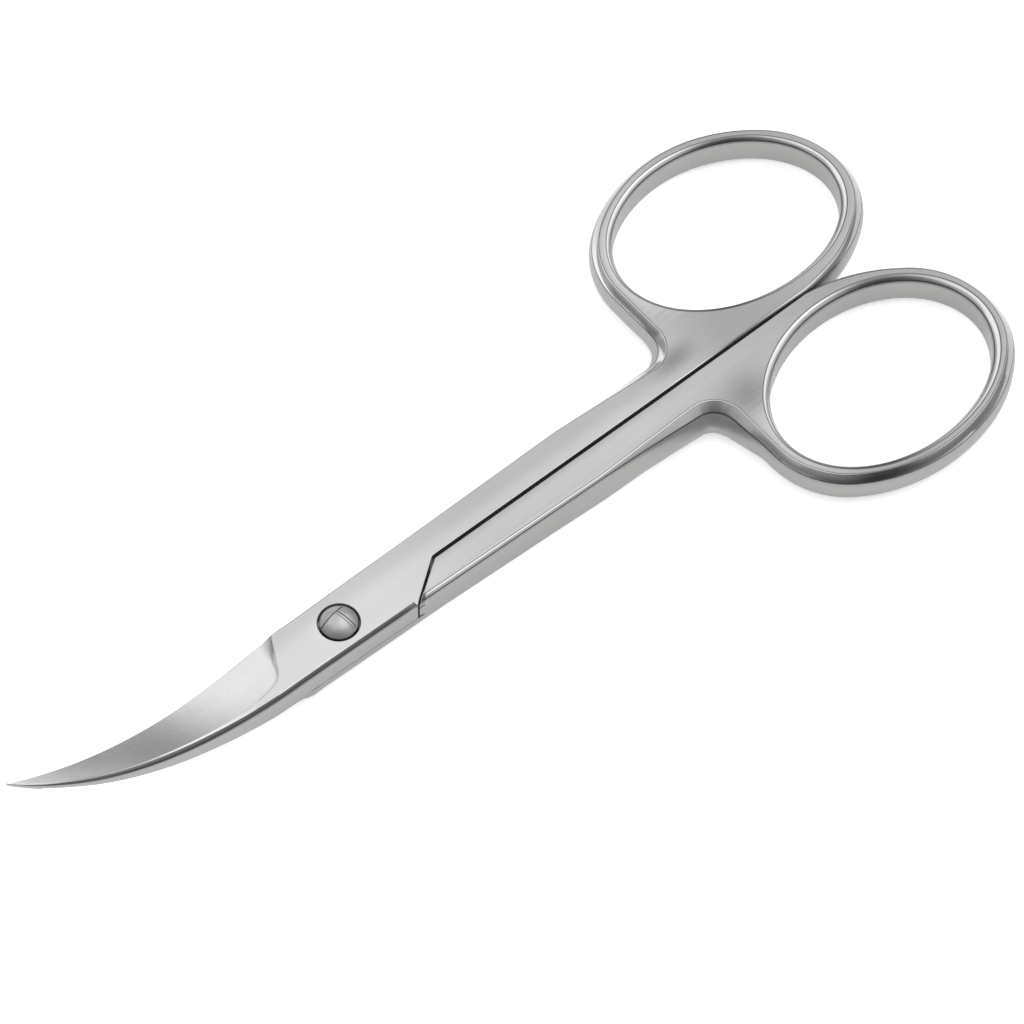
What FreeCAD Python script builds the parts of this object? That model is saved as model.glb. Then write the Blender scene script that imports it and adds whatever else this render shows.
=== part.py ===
"""Curved nail scissors: two forged halves turning on a domed screw.

Frame, in millimetres: the origin is the foot of the pivot axis on the flat underside, +X runs from
the pivot to the finger rings, +Y is the side of the upper half's ring, and +Z is up. The blades
reach towards -X and curl upwards. The scissors are drawn closed.
"""
import FreeCAD
import Part
import math
import os
import re
import Sketcher

# Driving dimensions. Each one becomes a cell of the sheet "sizes".
SIZES = {
    # stock, lap and the gaps between the halves
    "stock_thickness": 3.0,
    "lower_lap_thickness": 0.95,
    "lap_clearance": 0.04,
    "seam_gap": 0.2,
    "shoulder_reach": 9.3,
    "shoulder_wall_reach": 5.63,
    "shoulder_gap": 0.12,
    # shanks, and the neck where each one meets its ring
    "joint_half_width": 2.45,
    "upper_neck_half_width": 2.85,
    "lower_neck_half_width": 3.2,
    "neck_radius": 2.0,
    "shank_edge_radius": 0.3,
    # finger rings: ovals of two end arcs and two side arcs
    "ring_centre_reach": 47.35,
    "ring_half_length": 11.65,
    "ring_half_width": 9.2,
    "ring_squareness": 1.35,
    "ring_tilt": 4.4,
    "ring_end_wall": 1.84,
    "ring_side_wall": 1.82,
    "hole_shift_back": 0.03,
    "hole_shift_out": 0.04,
    "hole_edge_radius": 0.5,
    # blades in plan
    "blade_root_reach": 5.0,
    "tip_reach": 30.8,
    "spine_bow_radius": 165.0,
    "edge_bow_radius": 350.0,
    "belly_reach": 20.0,
    "belly_half_width": 1.56,
    "belly_radius": 63.0,
    "lower_edge_setback": 0.35,
    "lower_spine_setback": 0.12,
    "lower_tip_setback": 0.4,
    # curl of the blades, seen from the side
    "curl_rise": 11.6,
    "tip_thickness": 0.35,
    "back_curl_reach": 8.6,
    # grinding of the blades
    "grind_reach": 6.0,
    "grind_slant": 0.55,
    "grind_corner_radius": 3.0,
    "grind_corner_run": 2.6,
    "grind_corner_side": 1.45,
    "grind_fade_run": 6.0,
    "grind_fade_side": 1.7,
    "spine_land": 0.45,
    "hollow_radius": 20.0,
    "upper_edge_land": 0.6,
    "lower_edge_land": 0.35,
    "tip_edge_land": 0.12,
    # pivot screw and its seats
    "pivot_radius": 1.0,
    "pivot_clearance": 0.05,
    "thread_clearance": 0.01,
    "head_radius": 1.52,
    "head_clearance": 0.13,
    "head_pocket_depth": 0.7,
    "head_seat_clearance": 0.02,
    "dome_height": 0.75,
    "screw_end_recess": 0.12,
    "long_slot_width": 0.14,
    "cross_slot_width": 0.3,
    "slot_depth": 0.22,
    "slot_angle": 10.0,
    # one overrun for every cutting shape
    "overrun": 2.0,
}

NAMES = re.compile(r"\b(" + "|".join(sorted(SIZES, key=len, reverse=True)) + r")\b")
LEVEL_TOLERANCE = 1e-4
# how a sketch numbers the two ends of a line
START_POINT = 1
END_POINT = 2

doc = FreeCAD.newDocument("nail_scissors")
sheet = doc.addObject("Spreadsheet::Sheet", "sizes")
for row, (alias, value) in enumerate(SIZES.items(), start=1):
    sheet.set(f"A{row}", alias)
    sheet.set(f"B{row}", str(value))
    sheet.setAlias(f"B{row}", alias)
doc.recompute()


def bound(text):
    """An expression with each size named in the sheet."""
    return NAMES.sub(r"sizes.\1", text)


def number(text):
    """The present value of an expression in named sizes."""
    return float(sheet.evalExpression(bound(text)))


def drive(target, prop, text):
    """Binds a property to an expression in named sizes."""
    target.setExpression(prop, bound(text))


# Drawing tools


def new_sketch(body, name, role, offset=None):
    """A sketch on one of the body's own origin planes, or moved along that plane's normal."""
    plane = next(o for o in body.Origin.OriginFeatures if o.Role == role)
    sketch = body.newObject("Sketcher::SketchObject", name)
    sketch.AttachmentSupport = [(plane, "")]
    sketch.MapMode = "FlatFace"
    if offset is not None:
        drive(sketch, "AttachmentOffset.Base.z", offset)
    return sketch


def fix(sketch, kind, *what, text):
    """Adds a dimension that follows an expression."""
    index = sketch.addConstraint(Sketcher.Constraint(kind, *what, number(text)))
    drive(sketch, f"Constraints[{index}]", text)


def arc_between(start, end, radius, side):
    """The shorter arc of a radius, bulging to the left (1) or right (-1) of the way from start to end."""
    chord = end - start
    left = FreeCAD.Vector(-chord.y, chord.x, 0).normalize()
    rise = radius - math.sqrt(radius**2 - (chord.Length / 2) ** 2)
    middle = (start + end) / 2 + left * rise * side
    first, last = (end, start) if side > 0 else (start, end)
    return Part.Arc(first, middle, last)


def draw(sketch, corners):
    """A closed outline. A corner is (x, y), or (x, y, radius, side) where an arc leaves it."""
    places = [FreeCAD.Vector(number(c[0]), number(c[1]), 0) for c in corners]
    lines = []
    first_points = []
    for corner, start, end in zip(corners, places, places[1:] + places[:1]):
        shape = Part.LineSegment(start, end)
        if len(corner) == 4:
            shape = arc_between(start, end, number(corner[2]), corner[3])
        index = sketch.addGeometry(shape, False)
        lines.append(index)
        drawn = sketch.Geometry[index]
        forwards = (drawn.StartPoint - start).Length < (drawn.EndPoint - start).Length
        first_points.append(START_POINT if forwards else END_POINT)
    for k, index in enumerate(lines):
        following = (k + 1) % len(lines)
        last_point = END_POINT if first_points[k] == START_POINT else START_POINT
        joined = (index, last_point, lines[following], first_points[following])
        sketch.addConstraint(Sketcher.Constraint("Coincident", *joined))
    for k, corner in enumerate(corners):
        fix(sketch, "DistanceX", -1, 1, lines[k], first_points[k], text=corner[0])
        fix(sketch, "DistanceY", -1, 1, lines[k], first_points[k], text=corner[1])
        if len(corner) == 4:
            fix(sketch, "Radius", lines[k], text=corner[2])
    return sketch


def draw_ellipse(sketch, reach, side, half_length, half_width, tilt):
    """A tilted ellipse, held by its centre, its two axes and the slope of the long one."""
    centre = FreeCAD.Vector(number(reach), number(side), 0)
    slope = math.radians(number(tilt))
    along = FreeCAD.Vector(math.cos(slope), math.sin(slope), 0)
    across = FreeCAD.Vector(-along.y, along.x, 0)
    long_end = centre + along * number(half_length)
    ellipse = Part.Ellipse(long_end, centre + across * number(half_width), centre)
    index = sketch.addGeometry(ellipse, False)
    sketch.exposeInternalGeometry(index)
    long_axis, short_axis = index + 1, index + 2
    fix(sketch, "DistanceX", -1, 1, index, 3, text=reach)
    fix(sketch, "DistanceY", -1, 1, index, 3, text=side)
    fix(sketch, "Distance", long_axis, text=f"2 * {half_length}")
    fix(sketch, "Distance", short_axis, text=f"2 * {half_width}")
    axis = sketch.Geometry[long_axis]
    backwards = axis.EndPoint.x < axis.StartPoint.x
    turn = " + 180" if backwards else ""
    value = math.radians(number(f"{tilt}{turn}"))
    index = sketch.addConstraint(Sketcher.Constraint("Angle", long_axis, value))
    drive(sketch, f"Constraints[{index}]", f"({tilt}{turn}) * 1 deg")
    return sketch


def draw_circle(sketch, radius):
    """A circle about the sketch's origin."""
    circle = Part.Circle(FreeCAD.Vector(), FreeCAD.Vector(0, 0, 1), number(radius))
    index = sketch.addGeometry(circle, False)
    sketch.addConstraint(Sketcher.Constraint("Coincident", index, 3, -1, 1))
    fix(sketch, "Radius", index, text=radius)
    return sketch


# Features


def feature(body, kind, name, sketch, **settings):
    """A feature on a sketch. A setting that is text is an expression in named sizes."""
    made = body.newObject(f"PartDesign::{kind}", name)
    made.Profile = sketch
    for prop, value in settings.items():
        if isinstance(value, str):
            drive(made, prop, value)
        else:
            setattr(made, prop, value)
    doc.recompute()
    return made


def pad(body, name, sketch, height):
    """Material above a sketch, to a height."""
    return feature(body, "Pad", name, sketch, Length=height)


def pocket(body, name, sketch, height):
    """Removes what stands above a sketch, to a height."""
    return feature(body, "Pocket", name, sketch, Length=height, Reversed=True)


def slice_off(body, name, sketch):
    """Removes a side view's area right across the body."""
    return feature(body, "Pocket", name, sketch, Length=ACROSS, Midplane=True)


def turned_cut(body, name, sketch):
    """Removes an area turned about the pivot axis, through the half turn on the blades' side."""
    axis = (sketch, ["V_Axis"])
    return feature(body, "Groove", name, sketch, ReferenceAxis=axis, Angle=180, Midplane=True)


def round_edges(body, name, chosen, radius):
    """Rounds those edges of the body so far that a test picks."""
    base = body.Tip
    edges = [f"Edge{i}" for i, edge in enumerate(base.Shape.Edges, start=1) if chosen(edge)]
    made = body.newObject("PartDesign::Fillet", name)
    made.Base = (base, edges)
    drive(made, "Radius", radius)
    doc.recompute()
    return made


def level_at(edge, height):
    """Whether an edge lies level at a height."""
    box = edge.BoundBox
    return abs(box.ZMin - height) < LEVEL_TOLERANCE and abs(box.ZMax - height) < LEVEL_TOLERANCE


# Shapes that both halves share. "Own" is the side of a half's ring, and "far" the other one.

OTHER = {"upper": "lower", "lower": "upper"}
OWN_SIGN = {"upper": "", "lower": "-"}
FAR_SIGN = {"upper": "-", "lower": ""}
TURN = {"upper": 1, "lower": -1}
ACROSS = "4 * (ring_half_width + overrun)"
BLANK_HEIGHT = "stock_thickness + tip_reach / 2"
ABOVE = f"({BLANK_HEIGHT} + overrun)"
UPPER_BACK_RISE = "(lower_lap_thickness + lap_clearance / 2 + curl_rise + tip_thickness - stock_thickness)"
LOWER_BACK_RISE = "(lower_lap_thickness - lap_clearance / 2 + curl_rise - tip_thickness)"
PAST_TIP = "(tip_reach + overrun)"
PAST_RING = "(ring_centre_reach + ring_half_length + overrun)"
LAP_FACE = {
    "upper": "(lower_lap_thickness + lap_clearance / 2)",
    "lower": "(lower_lap_thickness - lap_clearance / 2)",
}
END_RADIUS = "(ring_half_width - ring_squareness)"
END_OFFSET = f"(ring_half_length - {END_RADIUS})"
SIDE_RADIUS = f"(({END_OFFSET} ^ 2 + ring_half_width ^ 2 - {END_RADIUS} ^ 2) / (2 * ring_squareness))"
SIDE_OFFSET = f"({SIDE_RADIUS} - ring_half_width)"
COS_TILT = "cos(ring_tilt * 1 deg)"
SIN_TILT = "sin(ring_tilt * 1 deg)"
RING_LEFT = f"(ring_centre_reach - {END_OFFSET} * {COS_TILT} - {END_RADIUS})"
NECK_REACH = f"({RING_LEFT} - neck_radius)"
RING_SIDE = f"(seam_gap / 2 + {SIDE_RADIUS} - {SIDE_OFFSET} * {COS_TILT})"


def own(half, text):
    """A sideways place on the half's own side."""
    return f"{OWN_SIGN[half]}({text})"


def far(half, text):
    """A sideways place on the other side."""
    return f"{FAR_SIGN[half]}({text})"


def wall_side(half, reach):
    """Distance of a shank's outer wall from the middle plane. It widens evenly to the neck."""
    share = f"(blade_root_reach + {reach}) / (blade_root_reach + {NECK_REACH})"
    return f"joint_half_width + ({half}_neck_half_width - joint_half_width) * {share}"


def ring_place(along, across):
    """A place in the ring's own tilted axes, as reach and distance from the middle plane."""
    reach = f"ring_centre_reach + ({along}) * {COS_TILT} + ({across}) * {SIN_TILT}"
    side = f"{RING_SIDE} - ({along}) * {SIN_TILT} + ({across}) * {COS_TILT}"
    return reach, side


def ring_corner(length_sign, width_sign):
    """Where an end arc of the ring meets a side arc."""
    spread = f"({SIDE_RADIUS} - {END_RADIUS})"
    along = f"{length_sign}({END_OFFSET} * (1 + {END_RADIUS} / {spread}))"
    across = f"{width_sign}({SIDE_OFFSET} * {END_RADIUS} / {spread})"
    return ring_place(along, across)


def ring_outline(half):
    """The ring from its straight neck side, round the far end, to its nearest point and across the seam."""
    walk = [
        (f"{RING_SIDE} + {END_OFFSET} * {SIN_TILT}", RING_LEFT, END_RADIUS),
        (*reversed(ring_corner("-", "")), SIDE_RADIUS),
        (*reversed(ring_corner("", "")), END_RADIUS),
        (*reversed(ring_corner("", "-")), SIDE_RADIUS),
    ]
    corners = [(reach, own(half, side), radius, TURN[half]) for side, reach, radius in walk]
    nearest = f"ring_centre_reach + {SIDE_OFFSET} * {SIN_TILT}"
    return [*corners, (nearest, own(half, "seam_gap / 2")), (nearest, far(half, "joint_half_width / 2"))]


def blade_outline(half):
    """The blade from its root on the far side, round the tip, to its root on the half's own side."""
    turn = TURN[half]
    if half == "upper":
        return [
            ("-blade_root_reach", far(half, "joint_half_width"), "spine_bow_radius", turn),
            ("-tip_reach", "0", "belly_radius", turn),
            ("-belly_reach", own(half, "belly_half_width"), "edge_bow_radius", turn),
        ]
    inner_belly = "belly_half_width - lower_spine_setback"
    step = "-blade_root_reach - lower_edge_setback"
    return [
        ("-blade_root_reach", far(half, "joint_half_width"), "edge_bow_radius", turn),
        ("-belly_reach", far(half, inner_belly), "belly_radius", turn),
        ("lower_tip_setback - tip_reach", "0", "spine_bow_radius", turn),
        (step, own(half, "joint_half_width - lower_edge_setback")),
    ]


def draw_shank(half, sketch):
    """The ring and shank seen from above, still running across the seam."""
    neck_width = f"{half}_neck_half_width"
    corners = [
        ("-blade_root_reach", far(half, "joint_half_width / 2")),
        ("-blade_root_reach", own(half, "joint_half_width")),
        (NECK_REACH, own(half, neck_width), "neck_radius", -TURN[half]),
        (RING_LEFT, own(half, f"{neck_width} + neck_radius")),
        *ring_outline(half),
    ]
    return draw(sketch, corners)


def shoulder(half):
    """The sloping shoulder of a half's lap, from the seam to the wall on the far side."""
    wall = far(half, wall_side(OTHER[half], "shoulder_wall_reach"))
    return [("shoulder_reach", own(half, "seam_gap / 2")), ("shoulder_wall_reach", wall)]


def draw_blade(half, sketch):
    """The lap and blade seen from above."""
    corners = [
        *shoulder(half),
        *blade_outline(half),
        ("-blade_root_reach", own(half, "joint_half_width")),
        ("-blade_root_reach", own(half, "joint_half_width / 2")),
    ]
    return draw(sketch, corners)


def draw_seam(half, sketch):
    """What lies across the seam behind the shoulder."""
    inner, outer = shoulder(half)
    corners = [inner, (PAST_RING, inner[1]), (PAST_RING, outer[1]), outer]
    return draw(sketch, corners)


def curl(side):
    """Level, starting reach and radius of a curve that leaves the level and curls up to the tip."""
    level, start, rise = {
        "upper mating": (LAP_FACE["upper"], "blade_root_reach", "curl_rise"),
        "lower mating": (LAP_FACE["lower"], "blade_root_reach", "curl_rise"),
        "upper back": ("stock_thickness", "back_curl_reach", UPPER_BACK_RISE),
        "lower back": ("0", "blade_root_reach", LOWER_BACK_RISE),
    }[side]
    return level, start, f"(((tip_reach - {start}) ^ 2 + {rise} ^ 2) / (2 * {rise}))"


def curled(side, reach):
    """Height of such a curve at a reach, and its level wherever it has not left that yet."""
    level, start, radius = curl(side)
    if number(reach) <= number(start):
        return level
    return f"{level} + {radius} - sqrt({radius} ^ 2 - (({reach}) - {start}) ^ 2)"


def draw_back(sketch):
    """What lies above the halves in the side view: flat over the shanks, curled over the blades."""
    level, start, radius = curl("upper back")
    corners = [
        (PAST_RING, level),
        (f"-{start}", level, radius, 1),
        (f"-{PAST_TIP}", curled("upper back", PAST_TIP)),
        (f"-{PAST_TIP}", ABOVE),
        (PAST_RING, ABOVE),
    ]
    return draw(sketch, corners)


def draw_lower_back(sketch):
    """What lies below the lower blade in the side view."""
    level, start, radius = curl("lower back")
    corners = [
        (f"-{start}", level, radius, 1),
        (f"-{PAST_TIP}", curled("lower back", PAST_TIP)),
        (f"-{PAST_TIP}", "-overrun"),
        (f"-{start}", "-overrun"),
    ]
    return draw(sketch, corners)


def draw_mating_side(half, sketch):
    """What lies beyond a half's mating face, flat round the pivot and curled up from the blade's root."""
    level, start, radius = curl(f"{half} mating")
    beyond = "-overrun" if half == "upper" else ABOVE
    corners = [
        ("0", beyond),
        ("0", level),
        (f"-{start}", level, radius, 1),
        (f"-{PAST_TIP}", curled(f"{half} mating", PAST_TIP)),
        (f"-{PAST_TIP}", beyond),
    ]
    return draw(sketch, corners)


def draw_lap(half, sketch):
    """Where the other half's lap lies behind the pivot, up to its sloping shoulder and the gap there."""
    wall = wall_side(half, "shoulder_wall_reach")
    outside = f"2 * ({wall}) + seam_gap / 2"
    corner = "shoulder_reach + shoulder_gap"
    corners = [
        ("0", far(half, outside)),
        (corner, far(half, outside)),
        (corner, far(half, "seam_gap / 2")),
        ("2 * shoulder_wall_reach - shoulder_reach + shoulder_gap", own(half, outside)),
        ("0", own(half, outside)),
    ]
    return draw(sketch, corners)


# Grinding of the blades. A share runs from 0 at the blade's root to 1 at its tip.

BLADE_LENGTH = "(tip_reach - blade_root_reach)"
STATION_SHARES = (-0.06, 0.14, 0.32, 0.5, 0.7, 0.88, 1.02)
BELLY_SHARE = f"((belly_reach - blade_root_reach) / {BLADE_LENGTH})"


def spine_side(share):
    """Distance of the upper blade's spine from the middle plane."""
    bow = f"{BLADE_LENGTH} ^ 2 / (2 * spine_bow_radius)"
    return f"(joint_half_width * (1 - ({share})) + {bow} * ({share}) * (1 - ({share})))"


def edge_side(share):
    """Distance of its cutting edge from the middle plane."""
    rise = f"(belly_half_width - joint_half_width * (1 - {BELLY_SHARE}))"
    bow = f"{rise} / ({BELLY_SHARE} * (1 - {BELLY_SHARE}))"
    return f"(joint_half_width * (1 - ({share})) + {bow} * ({share}) * (1 - ({share})))"


def draw_ground_section(half, sketch, share):
    """One section of the grinding wheel's path: a hollow line from the spine's land past the cutting edge."""
    reach = f"(blade_root_reach + {BLADE_LENGTH} * ({share}))"
    mating = curled(f"{half} mating", reach)
    back = curled(f"{half} back", reach)
    land = f"({half}_edge_land * (1 - ({share})) + tip_edge_land * ({share}))"
    if half == "upper":
        spine, edge = spine_side(share), edge_side(share)
        edge_height, clear = f"({mating} + {land})", "overrun"
    else:
        spine = f"({edge_side(share)} - lower_spine_setback)"
        edge = f"({spine_side(share)} - lower_edge_setback)"
        edge_height, clear = f"({mating} - {land})", "-overrun"
    start = f"({spine} - spine_land * (1 - ({share})))"
    past_edge = f"({edge} + overrun / 2)"
    slope = f"(({edge_height}) - ({back})) / ({start} + {edge})"
    corners = [
        (far(half, start), back, "hollow_radius", -1),
        (own(half, past_edge), f"{back} + {slope} * ({start} + {past_edge})"),
        (own(half, past_edge), f"{back} + {clear}"),
        (far(half, start), f"{back} + {clear}"),
    ]
    return draw(sketch, corners)


def draw_grind_start(half, sketch):
    """Where the wheel doesn't reach: a slanted shoulder that bends round and fades out along the spine."""
    width = "2 * joint_half_width"
    corners = [
        (f"grind_slant * {width} - grind_reach", own(half, width)),
        ("-grind_reach", "0", "grind_corner_radius", TURN[half]),
        ("-grind_reach - grind_corner_run", far(half, "grind_corner_side")),
        ("-grind_reach - grind_fade_run", far(half, "grind_fade_side")),
        ("-grind_reach - grind_fade_run", far(half, width)),
        ("0", far(half, width)),
        ("0", own(half, width)),
    ]
    return draw(sketch, corners)


def grinding(half):
    """The shape that the wheel takes off a blade."""
    body = doc.addObject("PartDesign::Body", f"{half}_grinding")
    sections = []
    for k, share in enumerate(STATION_SHARES):
        offset = f"-(blade_root_reach + {BLADE_LENGTH} * ({share}))"
        section = new_sketch(body, f"{half}_ground_section_{k}", "YZ_Plane", offset)
        sections.append(draw_ground_section(half, section, f"{share}"))
    doc.recompute()
    path = body.newObject("PartDesign::AdditiveLoft", f"{half}_wheel_path")
    path.Profile = sections[0]
    path.Sections = sections[1:]
    doc.recompute()
    start = new_sketch(body, f"{half}_grind_start", "XY_Plane")
    draw_grind_start(half, start)
    pocket(body, f"{half}_grind_limit", start, BLANK_HEIGHT)
    return body


# The two forged halves


def forged_half(half):
    """A half as forged and fitted: shank and ring, blade, curled back, lap and mating face."""
    body = doc.addObject("PartDesign::Body", f"{half}_forging")
    shank = draw_shank(half, new_sketch(body, f"{half}_shank_plan", "XY_Plane"))
    pad(body, f"{half}_shank", shank, "stock_thickness")
    hole = new_sketch(body, f"{half}_hole_outline", "XY_Plane")
    tilt = "-ring_tilt" if half == "upper" else "ring_tilt"
    size = ("(ring_half_length - ring_end_wall)", "(ring_half_width - ring_side_wall)")
    side = own(half, f"{RING_SIDE} + hole_shift_out")
    draw_ellipse(hole, "ring_centre_reach + hole_shift_back", side, *size, tilt)
    pocket(body, f"{half}_finger_hole", hole, "stock_thickness + overrun")
    past_joint = number("2 * shoulder_reach")
    past_seam = number("joint_half_width / 2 + seam_gap")

    def on_hole(edge):
        return edge.Closed and edge.BoundBox.XMin > past_joint

    def on_outside(edge):
        box = edge.BoundBox
        level = level_at(edge, 0) or level_at(edge, number("stock_thickness"))
        own_side = box.YMax > past_seam if half == "upper" else box.YMin < -past_seam
        return level and box.XMax > past_joint and not edge.Closed and own_side

    round_edges(body, f"{half}_hole_edges", on_hole, "hole_edge_radius")
    round_edges(body, f"{half}_outer_edges", on_outside, "shank_edge_radius")
    seam = draw_seam(half, new_sketch(body, f"{half}_seam_area", "XY_Plane"))
    pocket(body, f"{half}_seam", seam, BLANK_HEIGHT)
    blade = draw_blade(half, new_sketch(body, f"{half}_blade_plan", "XY_Plane"))
    pad(body, f"{half}_blade", blade, BLANK_HEIGHT)
    slice_off(body, f"{half}_back", draw_back(new_sketch(body, f"{half}_back_view", "XZ_Plane")))
    lap = new_sketch(body, f"{half}_lap_area", "XY_Plane", None if half == "upper" else LAP_FACE[half])
    draw_lap(half, lap)
    lap_height = LAP_FACE[half] if half == "upper" else BLANK_HEIGHT
    pocket(body, f"{half}_lap", lap, lap_height)
    mating = draw_mating_side(half, new_sketch(body, f"{half}_mating_view", "XZ_Plane"))
    turned_cut(body, f"{half}_mating_face", mating)
    if half == "lower":
        under = draw_lower_back(new_sketch(body, "lower_underside_view", "XZ_Plane"))
        slice_off(body, "lower_underside", under)
    return body


def finished_half(half, forging):
    """The forging with its blade ground, under the name of the piece."""
    finished = doc.addObject("Part::Cut", f"{half}_half")
    finished.Base = forging
    finished.Tool = grinding(half)
    doc.recompute()
    return finished


upper_forging = forged_half("upper")
bore = new_sketch(upper_forging, "upper_bore_outline", "XY_Plane")
draw_circle(bore, "pivot_radius + pivot_clearance")
pocket(upper_forging, "upper_bore", bore, BLANK_HEIGHT)
seat = new_sketch(upper_forging, "head_seat_outline", "XY_Plane", "stock_thickness - head_pocket_depth")
draw_circle(seat, "head_radius + head_clearance")
pocket(upper_forging, "head_seat", seat, "overrun")
upper_half = finished_half("upper", upper_forging)

lower_forging = forged_half("lower")
bore = new_sketch(lower_forging, "lower_bore_outline", "XY_Plane")
draw_circle(bore, "pivot_radius + thread_clearance")
pocket(lower_forging, "lower_bore", bore, BLANK_HEIGHT)
lower_half = finished_half("lower", lower_forging)

# Pivot screw: a plain shank, a flat seat under the head and a dome with two crossing slots

pivot_screw = doc.addObject("PartDesign::Body", "pivot_screw")
profile = new_sketch(pivot_screw, "screw_profile", "XZ_Plane")
seat_height = "stock_thickness - head_pocket_depth + head_seat_clearance"
dome_radius = "((head_radius ^ 2 + dome_height ^ 2) / (2 * dome_height))"
draw(
    profile,
    [
        ("0", "screw_end_recess"),
        ("pivot_radius", "screw_end_recess"),
        ("pivot_radius", seat_height),
        ("head_radius", seat_height),
        ("head_radius", "stock_thickness", dome_radius, -1),
        ("0", "stock_thickness + dome_height"),
    ],
)
feature(pivot_screw, "Revolution", "screw_blank", profile, ReferenceAxis=(profile, ["V_Axis"]))


def slot(name, width, angle):
    """A slot right across the dome, turned from the X axis by an angle."""
    floor = "stock_thickness + dome_height - slot_depth"
    outline = new_sketch(pivot_screw, f"{name}_outline", "XY_Plane", floor)
    length = "(head_radius + overrun)"
    along = (f"{length} * cos(({angle}) * 1 deg)", f"{length} * sin(({angle}) * 1 deg)")
    across = (f"-{width} / 2 * sin(({angle}) * 1 deg)", f"{width} / 2 * cos(({angle}) * 1 deg)")
    signs = (("", ""), ("-", ""), ("-", "-"), ("", "-"))
    draw(outline, [tuple(f"{a}({u}) + {b}({v})".replace("+ -(", "- (") for u, v in zip(along, across))
                   for a, b in signs])
    pocket(pivot_screw, name, outline, "overrun")


slot("long_slot", "long_slot_width", "slot_angle")
slot("cross_slot", "cross_slot_width", "slot_angle - 90")

# Check every object, then write one file per piece

doc.recompute()
faulty = [o.Name for o in doc.Objects if {"Invalid", "Error"} & set(o.State)]
if faulty:
    raise RuntimeError(f"these objects did not compute: {faulty}")

pieces = (upper_half, lower_half, pivot_screw)
for piece in pieces:
    if piece.Shape.isNull() or not piece.Shape.isValid() or len(piece.Shape.Solids) != 1:
        raise RuntimeError(f"{piece.Label} is not one sound solid")

os.makedirs("parts", exist_ok=True)
for piece in pieces:
    piece.Shape.exportStep(f"parts/{piece.Label}.step")
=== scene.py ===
"""Curved nail scissors: two forged halves of stainless steel on a domed pivot screw.

Lengths are in millimetres until a mesh is made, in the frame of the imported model: X runs from the pivot
to the finger rings, Y to the side of the upper half's ring, and Z up.
"""

import math

import bmesh
import bpy
import numpy as np
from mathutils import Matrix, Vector
from mathutils.geometry import tessellate_polygon


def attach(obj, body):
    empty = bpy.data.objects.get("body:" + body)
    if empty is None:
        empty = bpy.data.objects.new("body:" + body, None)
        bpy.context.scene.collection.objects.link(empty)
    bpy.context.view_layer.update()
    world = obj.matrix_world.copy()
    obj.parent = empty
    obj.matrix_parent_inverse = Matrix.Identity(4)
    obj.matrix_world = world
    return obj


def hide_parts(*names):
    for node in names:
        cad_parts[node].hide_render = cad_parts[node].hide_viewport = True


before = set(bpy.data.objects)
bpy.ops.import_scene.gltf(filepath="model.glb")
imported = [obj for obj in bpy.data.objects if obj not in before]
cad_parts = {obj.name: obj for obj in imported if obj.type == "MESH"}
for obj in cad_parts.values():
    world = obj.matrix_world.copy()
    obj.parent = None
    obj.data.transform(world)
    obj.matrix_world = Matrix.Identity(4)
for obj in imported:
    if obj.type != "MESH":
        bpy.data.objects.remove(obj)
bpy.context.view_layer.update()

# Forged halves: each is one blank of stainless steel, 3 mm thick, with its ring, its shank, a lap that
# is cut down at the joint, and a blade that curls up. Both are drawn with the ring on the +Y side. Depth
# runs from the back, which is the outer face that the wheel grinds hollow, to the front.

MM = 0.001
STOCK = 3.0
TIP = 30.8
JOIN = 3.0
LAP_REACH = 5.0
LAP_HALF_WIDTH = 2.45
CURL_START = 5.0
CURL_RISE = 11.6
ROUND_STEPS = 8
SEAM_END = 9.3
SHOULDER_END = 5.63
BELLY_START = 24
SEAM_TURN = 32
NECK_REACH = 33.711
NECK_RADIUS = 2.0
RING_START = 35.711
# The ring's outline: centres of its four arcs, from the neck round to the seam, and where they meet.
FIRST_END = (43.561, 9.605)
FAR_SIDE = (46.992, 4.655)
LAST_END = (51.139, 9.022)
NEAR_SIDE = (47.709, 13.973)
END_RADIUS = 7.85
SIDE_RADIUS = 13.873
FIRST_MEETING = (39.090, 16.058)
SECOND_MEETING = (56.545, 14.715)
THIRD_MEETING = (55.610, 2.570)
HOLE_CENTRE = (47.38, 9.354)
HOLE_RADII = (9.81, 7.38)
HOLE_TILT = math.radians(-4.4)
PIVOT_BORE = 1.05
# Edges and corners. An arris is the least rounding of a filed edge, and a lean is the slope in degrees at
# which a rounding starts from its flat.
BORE_ROUND = 0.03
ARRIS = 0.02
LAP_CLEARANCE = 0.02
TIP_ARRIS = 0.006
TIP_SLICES = 12
FOOT_BEND = 0.06
HIDDEN_HOLE_ROUND = 0.55
EDGE_LEAN = 80
EDGE_LEAN_END = 4.5
FOOT_TURN = (-5.8, -5.62)
SEAM_SIDE = (0.3, 2.0)
POCKET_EDGE_END = 0.4
CUT_SHIFT_REACH = 2

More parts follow.
